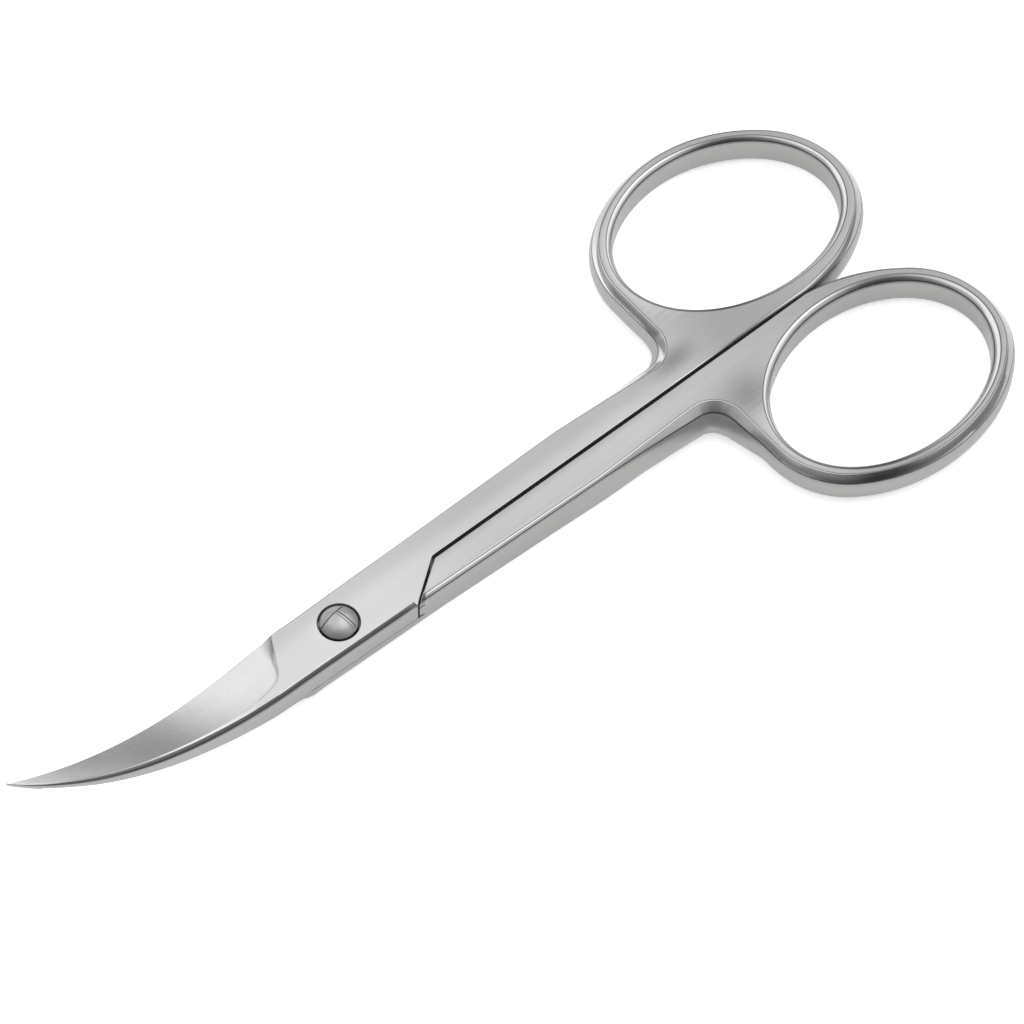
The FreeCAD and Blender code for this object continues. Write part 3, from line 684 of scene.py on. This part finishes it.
def painted_half_shade(nodes, x, y, ground, polished, ring_side, own_painted_shade):
    """How much painted shade darkens the flats and the buffed roundings of one half, along it and round its
    ring:
    it stands in for the shading and the dark reflections of the curved, brushed metal.
    """
    ring_x, ring_y = x - RING_MIDDLE[0], y - ring_side * RING_MIDDLE[1]
    facing = ring_x * RING_ACROSS[0] + ring_y * RING_ACROSS[1]
    round_ring = facing * facing / (ring_x * ring_x + ring_y * ring_y)
    on_ring = smooth_step(nodes, x, *RING_STARTS)
    on_shank = 1 - smooth_step(nodes, x, *SHANK_ENDS)
    crown, neck = own_painted_shade(nodes, x, y)
    # Painted shade on the flats: a painted reflection band where the ring faces across, and darker flats on
    # the ring, along the shank towards the ring and at the neck.
    flats = round_ring * on_ring * FLAT_PAINTED_SHADE["across the ring"] + on_ring * FLAT_PAINTED_SHADE["ring"]
    flats = (flats + crown * on_shank + neck) * (1 - ground)
    flats = flats + smooth_step(nodes, x, *SHANK_SHADE_RISE) * FLAT_PAINTED_SHADE["shank"]
    flats = flats + smooth_step(nodes, x, *NECK_SHADE_RISE) * FLAT_PAINTED_SHADE["neck"]

    # Painted dark reflections on the buffed roundings: grey on the ring's sides, a black patch where the
    # ring faces across, and dark in the inner neck, at the joint and along the shank.
    inner_neck = near_place(nodes, x, *INNER_NECK_X) * near_place(nodes, y * ring_side, *INNER_NECK_Y)
    past_hole = ring_x * ring_x / RING_REACH[0] ** 2 + ring_y * ring_y / RING_REACH[1] ** 2
    outside = smooth_step(nodes, past_hole, *HOLE_RIM_ENDS)
    patch = round_ring * round_ring
    ring = (1 - round_ring) * outside * BUFFED_PAINTED_SHADE["ring's side"]
    ring = ring + patch * patch * BUFFED_PAINTED_SHADE["across the ring"]
    joint = (1 - smooth_step(nodes, x, *JOINT_ENDS)) * BUFFED_PAINTED_SHADE["joint"]
    roundings = ring * on_ring + inner_neck * BUFFED_PAINTED_SHADE["inner neck"]
    return flats, (roundings + joint + on_shank * BUFFED_PAINTED_SHADE["shank"]) * polished


def steel(name, finish, ring_side=0, own_painted_shade=None):
    """Stainless steel with a belt-brushed, a wheel-ground and a buffed finish in one material.

    A half gives the side of its ring, and the painted shade on its own flats along the shank and at the
    neck.
    Painted shade and dark reflections also darken the flats, the buffed roundings and the ground blade by
    place.
    """
    material = bpy.data.materials.new(name)
    nodes = Nodes(material)
    place = nodes.add("ShaderNodeTexCoord", output="Object")
    buffed = nodes.add("ShaderNodeAttribute", {"attribute_name": "polished"}, output="Fac")
    side = nodes.add("ShaderNodeAttribute", {"attribute_name": "wall"}, output="Fac")
    ground = nodes.add("ShaderNodeAttribute", {"attribute_name": "ground"}, output="Fac")
    x, y = (nodes.add("ShaderNodeSeparateXYZ", None, {0: place}, axis) for axis in range(2))
    polished = smooth_step(nodes, buffed, *POLISH_ENDS)
    dull = 1 - polished

    painted_flat_shade, painted_buffed_shade = 0.0, 0.0
    if own_painted_shade:
        painted_flat_shade, painted_buffed_shade = painted_half_shade(nodes, x, y, ground, polished, ring_side, own_painted_shade)
    # Painted shade on the ground blade: darker in its middle and towards the tip, and a painted shadow
    # beside the grind's shoulder.
    middle = near_place(nodes, x, *BLADE_MIDDLE) * BLADE_PAINTED_SHADE["middle"]
    end = smooth_step(nodes, 0.0 - x, *BLADE_END) * BLADE_PAINTED_SHADE["end"]
    shoulder = smooth_step(nodes, ground, *GRIND_RUN_IN) * (1 - ground) * (1 - ground)
    shoulder = shoulder * smooth_step(nodes, y, *SHOULDER_SIDE) * BLADE_PAINTED_SHADE["shoulder"]
    painted_blade_shade = (middle + end) * ground + shoulder

    along = stretched_noise(nodes, place, *BELT_LINES)
    across = stretched_noise(nodes, place, *WHEEL_LINES)
    grain = along + (across - along) * ground
    streaks = stretched_noise(nodes, place, *BELT_STREAKS)
    clouds = stretched_noise(nodes, place, *CLOUDS)
    marks = grain * MARK_SHARES["grain"] + streaks * MARK_SHARES["streaks"] + clouds * MARK_SHARES["clouds"]
    marks = marks * MARK_SHARES["all"] * (dull * 0.75 + 0.25)
    # A painted dark line where a buffed rounding meets its flat: it stands in for the dark reflection at
    # the crease.
    painted_edge_line = buffed * (1 - buffed) * 4 * MARK_SHARES["line"]

    top = blend(nodes, ground, finish["flat_shade"], GROUND_SHADE)
    # Painted shade: the walls take the darker wall shade.
    flat = blend(nodes, side, top, finish["wall_shade"])
    base = blend(nodes, polished, flat, finish["bright_shade"])
    # The colour is darkened by the brush marks, which are real, and by painted shade, painted dark
    # reflections and a painted dark line at the edge of the buffed roundings.
    dim = marks + painted_edge_line + painted_flat_shade * dull * (1 - side) + painted_buffed_shade + painted_blade_shade
    shade = blend(nodes, dim, base, DIMMED_SHADE, "MULTIPLY")
    flat_rough, wall_rough, bright_rough = (finish[f"{part}_rough"] for part in ("flat", "wall", "bright"))
    satin_rough = flat_rough + (wall_rough - flat_rough) * side
    satin_rough = satin_rough + (grain - 0.5) * ROUGH_SHARES["grain"]
    satin_rough = satin_rough + (clouds - 0.5) * ROUGH_SHARES["clouds"]
    rough = bright_rough + (satin_rough - bright_rough) * dull
    relief = {"Height": grain * (dull * 0.9 + 0.1), "Strength": 0.3, "Distance": BRUSH_DEPTH * MM}
    bump = nodes.add("ShaderNodeBump", None, relief)
    surface = nodes.add("ShaderNodeBsdfPrincipled", None,
                        {"Base Color": shade, "Metallic": 1.0, "Roughness": rough, "Normal": bump})
    nodes.add("ShaderNodeOutputMaterial", None, {"Surface": surface})
    return material


# Lower half: the forging whose ring is on the -Y side. Its lap lies under the joint, and its blade shows
# only as a sliver beside the upper one, on which it bears along its whole inner face.

LOWER_LAP = 0.93
LOWER_BACK_RISE = 12.18
# Neck_spread holds places across the neck and how much of the wall's spread there is at each. Ring_draw
# holds ways in which the ring's far end is drawn out of its oval, and how far.
lower_shape = {
    "neck_spread": ((1.2, 2.0, 4.6, 8.6), (0, 1, 1, 0)),
    "ring_draw": [((0.77, 0.64), 0.4), ((1, 0), 0.1)],
    "seam": 0.24, "far_wall": 2.56, "neck_half_width": 3.2,
    "pocket_shift": 0.19, "pocket_bend": 0.2, "seam_bend": 0.12,
    "outer_round": 0.45, "ring_round": 0.55, "hole_round": 0.8, "under_round": 0.28,
    "seam_ring_round": 0.09, "pocket_round": 0.6, "seam_round": 0.06, "seam_front": 0.06,
    "pocket_edge": 0.1, "seam_back": 0.28, "lap_back": 0.28, "foot_back": 0.28,
    "pocket_back": 0.28, "edge_back": 0.28,
    "levels": [2.1, 1.7, 1.3, LOWER_LAP, 0.82, 0.72, 0.62, 0.52], "tip": 29.3,
    "edge": [(3, 2.4707), (5, 2.4), (5.1, 2.35), (5.3, 2.25), (5.4, 2.23), (8, 2.21), (9.6, 2.15),
             (13.3, 1.96), (16.8, 1.73), (20.2, 1.4), (23.5, 0.96), (26.6, 0.35), (28.4, -0.12),
             (29.3, -0.38)],
    "spine": [(3, 2.4707), (5, 2.43), (8, 2.36), (9.8, 2.25), (11.8, 2.08), (15.9, 1.72), (19.8, 1.41),
              (23.6, 1.11), (26.6, 0.85), (28.4, 0.62), (29.3, 0.44)],
    "edge_land": [(3, LOWER_LAP), (5, 0.9), (8, 0.76), (12, 0.6), (20, 0.36), (30.8, 0.08)],
    "edge_rounding": [(3, 0.28), (5, 0.28), (5.4, 0.2), (8, 0.1), (12, 0.04), (30.8, 0.01)],
    "head_pocket": None, "thread_bore": 1.01, "bore_mouth": 0.06,
    "back": lambda reach: curled(reach, 0, CURL_START, LOWER_BACK_RISE),
    "mating": lambda reach: curled(reach, LOWER_LAP, CURL_START, CURL_RISE),
}
lower_half = forged_half("lower_half_steel", side=-1, down=1, lap=LOWER_LAP, shape=lower_shape)

# Where shade is painted on the lower half's flats: by its seam, by its outer wall, and at the neck.
LOWER_SEAM_SIDE = (-0.0001, 0.0009)
LOWER_WALL_SIDE = (-0.0031, 0.0014)
LOWER_NECK_X = (0.0378, 0.004)
LOWER_NECK_Y = (-0.0044, 0.0034)
LOWER_SHANK_BASE = 0.3
LOWER_SIDE_SHADE = 0.16
LOWER_NECK_SHADE = 0.26


def lower_painted_shade(nodes, x, y):
    """How much painted shade darkens the lower half's flats along both sides of the shank, and at the neck.
    """
    sides = near_place(nodes, y, *LOWER_SEAM_SIDE) + near_place(nodes, y, *LOWER_WALL_SIDE)
    neck = near_place(nodes, x, *LOWER_NECK_X) * near_place(nodes, y, *LOWER_NECK_Y)
    return (sides + LOWER_SHANK_BASE) * LOWER_SIDE_SHADE, neck * LOWER_NECK_SHADE


lower_satin = steel("lower_satin_steel", SATIN, ring_side=-1, own_painted_shade=lower_painted_shade)
lower_half.data.materials.append(lower_satin)
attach(lower_half, "lower")
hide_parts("lower_half")

# Upper half: the forging whose ring is on the +Y side. Its lap lies over the joint, with a round seat
# sunk for the screw head, and its blade shows its hollow ground back.

UPPER_LAP = 2.03
UPPER_BACK_START = 8.6
UPPER_BACK_RISE = 9.92
SEAT_RADIUS = 1.65
SEAT_DEPTH = 0.7
upper_shape = {
    "neck_spread": ((1.2, 2.0, 3.2, 5.6), (0, 0.55, 0.55, 0)),
    "ring_draw": [((0.77, -0.64), 0.45), ((0.64, 0.77), -0.22)],
    "seam": 0.05, "far_wall": 2.656, "neck_half_width": 2.85,
    "pocket_shift": 0.26, "pocket_bend": 0.5, "seam_bend": 0.5,
    "outer_round": 0.12, "ring_round": 0.55, "hole_round": 0.68, "under_round": 0.2,
    "seam_ring_round": 0.32, "pocket_round": 0.12, "seam_round": 0.07, "seam_front": 0.2,
    "pocket_edge": 0.07, "seam_back": 0.07, "lap_back": 0.06, "foot_back": 0.74,
    "pocket_back": 0.12, "edge_back": 0.12,
    "levels": [2.6, 2.4, 2.2, UPPER_LAP, 1.7, 1.3, 1.0, 0.75], "tip": 30.5,
    "edge": [(3, 2.4707), (5, 2.48), (7, 2.52), (8, 2.5), (9.8, 2.37), (11.8, 2.2), (15.9, 1.84),
             (19.8, 1.53), (23.6, 1.23), (26.6, 0.97), (28.4, 0.77), (29.9, 0.53), (30.5, 0.37)],
    "spine": [(3, 2.489), (5, 2.47), (7.8, 2.43), (9.6, 2.33), (13.3, 2.11), (16.8, 1.85), (20.2, 1.51),
              (23.5, 1.09), (26.6, 0.56), (28.4, 0.22), (29.9, -0.13), (30.5, -0.33)],
    "edge_land": [(3, 1.8), (5, 1.62), (6, 1.4), (7, 1.2), (8.5, 0.98), (10, 0.82), (12, 0.68), (15, 0.52),
                  (20, 0.36), (25, 0.23), (29, 0.13), (30.8, 0.08)],
    "edge_rounding": [(3, 0.12), (4.7, 0.05), (6, 0.02), (30.8, 0.01)],
    "head_pocket": (SEAT_RADIUS, SEAT_DEPTH), "thread_bore": None, "bore_mouth": 0.07,
    "back": lambda reach: curled(reach, STOCK, UPPER_BACK_START, UPPER_BACK_RISE),
    "mating": lambda reach: curled(reach, STOCK - UPPER_LAP, CURL_START, CURL_RISE),
}
upper_half = forged_half("upper_half_steel", side=1, down=-1, lap=UPPER_LAP, shape=upper_shape)

# Where shade is painted on the upper half's flats: along the far side of the shank, and at the neck.
UPPER_CROWN = (0.0002, 0.0019)
UPPER_NECK_X = (0.0349, 0.0032)
UPPER_NECK_Y = (0.0019, 0.0016)
UPPER_NECK_SLANT = 0.3
UPPER_CROWN_SHADE = 0.16
UPPER_NECK_SHADE = 0.3


def upper_painted_shade(nodes, x, y):
    """How much painted shade darkens the upper half's flats along the far side of the shank, and at the
    neck.
    """
    crown = smooth_step(nodes, y, *UPPER_CROWN)
    neck = near_place(nodes, x - y * UPPER_NECK_SLANT, *UPPER_NECK_X) * near_place(nodes, y, *UPPER_NECK_Y)
    return crown * UPPER_CROWN_SHADE, neck * UPPER_NECK_SHADE


upper_satin = steel("upper_satin_steel", SATIN, ring_side=1, own_painted_shade=upper_painted_shade)
upper_half.data.materials.append(upper_satin)
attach(upper_half, "upper")
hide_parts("upper_half")

# Pivot screw: turned from stainless bar, domed and buffed, with a fine slot from the saw and a short wide
# one beside it. Its plain shank turns in the upper half, and its foot is fixed in the lower half.

STEPS_ROUND = 200
ROUND_PATH = 1.0
HEAD_RADIUS = 1.52
RIM_LEVEL = 2.92
DOME_TOP = 3.75
DOME_RADIUS = 1.93
DOME_REACH = 1.5
DOME_ROWS = 46
SCREW_STEEL = {
    "flat_shade": (0.45, 0.45, 0.45, 1),
    "wall_shade": (0.45, 0.45, 0.45, 1),
    "bright_shade": (0.45, 0.45, 0.45, 1),
    "flat_rough": 0.42,
    "wall_rough": 0.42,
    "bright_rough": 0.36,
}
polished_steel = steel("polished_stainless_steel", SCREW_STEEL)


def turned(name, steps):
    """Geometry Nodes that sweep a turned part's side view round its axis."""
    tree = bpy.data.node_groups.new(name, "GeometryNodeTree")
    tree.interface.new_socket("Side View", in_out="INPUT", socket_type="NodeSocketGeometry")
    steps_input = tree.interface.new_socket("Steps Round", in_out="INPUT", socket_type="NodeSocketInt")
    finish_input = tree.interface.new_socket("Finish", in_out="INPUT", socket_type="NodeSocketMaterial")
    tree.interface.new_socket("Turned Part", in_out="OUTPUT", socket_type="NodeSocketGeometry")
    steps_input.default_value = steps
    sides = tree.nodes.new("NodeGroupInput")
    to_curve = tree.nodes.new("GeometryNodeMeshToCurve")
    round_path = tree.nodes.new("GeometryNodeCurvePrimitiveCircle")
    sweep = tree.nodes.new("GeometryNodeCurveToMesh")
    merge = tree.nodes.new("GeometryNodeMergeByDistance")
    real = tree.nodes.new("GeometryNodeRealizeInstances")
    finish = tree.nodes.new("GeometryNodeSetMaterial")
    out = tree.nodes.new("NodeGroupOutput")
    round_path.inputs["Radius"].default_value = ROUND_PATH * MM
    merge.inputs["Distance"].default_value = 1e-7
    for start, end in (
        (sides.outputs["Side View"], to_curve.inputs["Mesh"]),
        (sides.outputs["Steps Round"], round_path.inputs["Resolution"]),
        (round_path.outputs["Curve"], sweep.inputs["Curve"]),
        (to_curve.outputs["Curve"], sweep.inputs["Profile Curve"]),
        (sweep.outputs["Mesh"], merge.inputs["Geometry"]),
        (merge.outputs["Geometry"], real.inputs["Geometry"]),
        (real.outputs["Geometry"], finish.inputs["Geometry"]),
        (sides.outputs["Finish"], finish.inputs["Material"]),
        (finish.outputs["Geometry"], out.inputs["Turned Part"]),
    ):
        tree.links.new(start, end)
    return tree, steps_input.identifier, finish_input.identifier


# The turned part seen from the side, from its foot to the top of the dome: distance from the axis, level.
side_view = [(0, 0.12), (0.9, 0.12), (1.0, 0.22), (1.0, 2.32), (1.46, 2.32), (HEAD_RADIUS, 2.38),
             (HEAD_RADIUS, 2.8), (1.515, 2.88)]
for distance in np.linspace(DOME_REACH, 0, DOME_ROWS):
    side_view.append((distance, DOME_TOP - DOME_RADIUS + math.sqrt(DOME_RADIUS**2 - distance**2)))
outline = bpy.data.meshes.new("screw_side_view")
outline_points = [((x - ROUND_PATH) * MM, -z * MM, 0) for x, z in side_view]
outline.from_pydata(outline_points, [(k, k + 1) for k in range(len(side_view) - 1)], [])
screw = bpy.data.objects.new("pivot_screw_turned", outline)
bpy.context.scene.collection.objects.link(screw)
turning, side_steps, side_finish = turned("turned_screw", STEPS_ROUND)
lathe = screw.modifiers.new("turned on a lathe", "NODES")
lathe.node_group = turning
lathe[side_steps] = STEPS_ROUND
lathe[side_finish] = polished_steel
bpy.context.view_layer.update()
screw_mesh = bpy.data.meshes.new_from_object(screw.evaluated_get(bpy.context.evaluated_depsgraph_get()))
screw.modifiers.clear()
screw.data = screw_mesh


def sawn(places, start, end, half_width, depth):
    """How deep a saw cut between two points goes at each place on the dome, deepest along its middle."""
    start, end = np.array(start), np.array(end)
    along = end - start
    share = np.clip((places - start) @ along / (along @ along), 0, 1)
    off = np.linalg.norm(places - start - share[:, None] * along, axis=1)
    return depth * np.clip(1 - (off / half_width) ** 2, 0, 1)


# The saw cuts across the dome: start, end, half width, depth.
SAW_CUTS = (
    ((-1.45, 0.37), (0.95, 0.74), 0.075, 0.05),
    ((0.3, 0.66), (0.72, -1.2), 0.06, 0.045),
    ((0.08, 0.62), (0.46, -1.26), 0.06, 0.02),
)
DEEPEST_CUT = 0.05
CUT_EDGE = 1.495
places = np.array([vertex.co for vertex in screw_mesh.vertices]) / MM
on_dome = (places[:, 2] > RIM_LEVEL) & (np.hypot(places[:, 0], places[:, 1]) < CUT_EDGE)
cuts = np.max([sawn(places[:, :2], *cut) for cut in SAW_CUTS], 0) * on_dome
for vertex, cut_depth in zip(screw_mesh.vertices, cuts):
    vertex.co.z -= cut_depth * MM
unmarked = np.zeros(len(cuts))
marked(screw_mesh, polished=1 - np.clip(cuts / DEEPEST_CUT, 0, 1) * 0.5, wall=unmarked, ground=unmarked)
metal = bmesh.new()
metal.from_mesh(screw_mesh)
bmesh.ops.remove_doubles(metal, verts=metal.verts, dist=1e-8)
bmesh.ops.recalc_face_normals(metal, faces=metal.faces)
shaded_smooth(metal, crease=40)
metal.to_mesh(screw_mesh)
metal.free()
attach(screw, "lower")
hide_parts("pivot_screw")

# Studio: a plain white floor under a white tent, lit from above, with the dark side of the room in front.

FLOOR_REACH = 3
FLOOR_LEVEL = -0.0001
floor_ways = ((-1, -1), (1, -1), (1, 1), (-1, 1))
floor_corners = [(x * FLOOR_REACH, y * FLOOR_REACH, FLOOR_LEVEL) for x, y in floor_ways]
floor_mesh = bpy.data.meshes.new("studio_floor")
floor_mesh.from_pydata(floor_corners, [], [(0, 1, 2, 3)])
floor = bpy.data.objects.new("studio_floor", floor_mesh)
bpy.context.scene.collection.objects.link(floor)
paper = bpy.data.materials.new("white_paper")
nodes = Nodes(paper)
paper_look = {"Base Color": (0.95, 0.95, 0.95, 1), "Roughness": 1.0, "Specular IOR Level": 0.0,
              "Emission Color": (1, 1, 1, 1), "Emission Strength": 0.5}
sheet = nodes.add("ShaderNodeBsdfPrincipled", None, paper_look)
nodes.add("ShaderNodeOutputMaterial", None, {"Surface": sheet})
floor_mesh.materials.append(paper)

room = bpy.data.worlds.new("studio_room")
bpy.context.scene.world = room
nodes = Nodes(room)
toward = nodes.add("ShaderNodeTexCoord", output="Generated")


def near_way(way, wide, soft):
    """1 within so many degrees of one way in the room, easing to 0 over the next few."""
    length = math.sqrt(sum(c * c for c in way))
    aim = [c / length for c in way]
    dot = nodes.add("ShaderNodeVectorMath", {"operation": "DOT_PRODUCT"}, {0: toward, 1: aim}, "Value")
    return smooth_step(nodes, dot, math.cos(math.radians(wide + soft)), math.cos(math.radians(wide)))


TENT_LIGHT = 1.2
LOW_SHADE = 0.55
LOW_ENDS = (0.2, 0.52)
# Lighter and darker parts of the tent: the way to each, its width and soft edge in degrees, light added.
LAMPS = (
    ((0.3, -0.15, 0.95), 14, 16, 0.5),
    ((0.336, 0.404, 0.851), 4, 9, -0.2),
    ((0.62, 0.38, 0.68), 7, 10, 0.7),
)
# Dark sides of the room, in the same order, with the share of the light that each takes away.
DARK_SIDES = (
    ((-0.58, -0.698, 0.42), 18, 32, 0.7),
    ((0.336, -0.82, 0.42), 18, 16, 0.4),
    ((-0.868, 0.18, 0.42), 18, 16, 0.5),
    ((0.78, 0.55, 0.3), 9, 12, 0.35),
)
glow = TENT_LIGHT
for way, wide, soft, added in LAMPS:
    glow = glow + near_way(way, wide, soft) * added
for way, wide, soft, taken in DARK_SIDES:
    glow = glow * (1 - near_way(way, wide, soft) * taken)
upward = nodes.add("ShaderNodeSeparateXYZ", None, {0: toward}, 2)
low = 1 - smooth_step(nodes, upward, *LOW_ENDS)
glow = glow * (1 - low * LOW_SHADE)
light = nodes.add("ShaderNodeBackground", None, {"Color": (1, 1, 1, 1), "Strength": glow})
nodes.add("ShaderNodeOutputWorld", None, {"Surface": light})
bpy.context.scene.view_settings.view_transform = "Standard"

# The camera stands above the tips with a long lens, and looks down along the scissors.
LOOKED_AT = (0.0172, -0.0001, 0.0014)
DISTANCE = 0.386
camera_data = bpy.data.cameras.new("product_camera")
camera_data.lens = 173.7
camera_data.sensor_width = 36
camera_data.clip_start = 0.01
camera = bpy.data.objects.new("product_camera", camera_data)
bpy.context.scene.collection.objects.link(camera)
turn, lift = math.radians(-39.8), math.radians(58.3)
back = Vector((math.sin(turn) * math.cos(lift), -math.cos(turn) * math.cos(lift), math.sin(lift)))
camera.location = Vector(LOOKED_AT) + DISTANCE * back
camera.rotation_euler = (-back).to_track_quat("-Z", "Y").to_euler()
bpy.context.scene.camera = camera
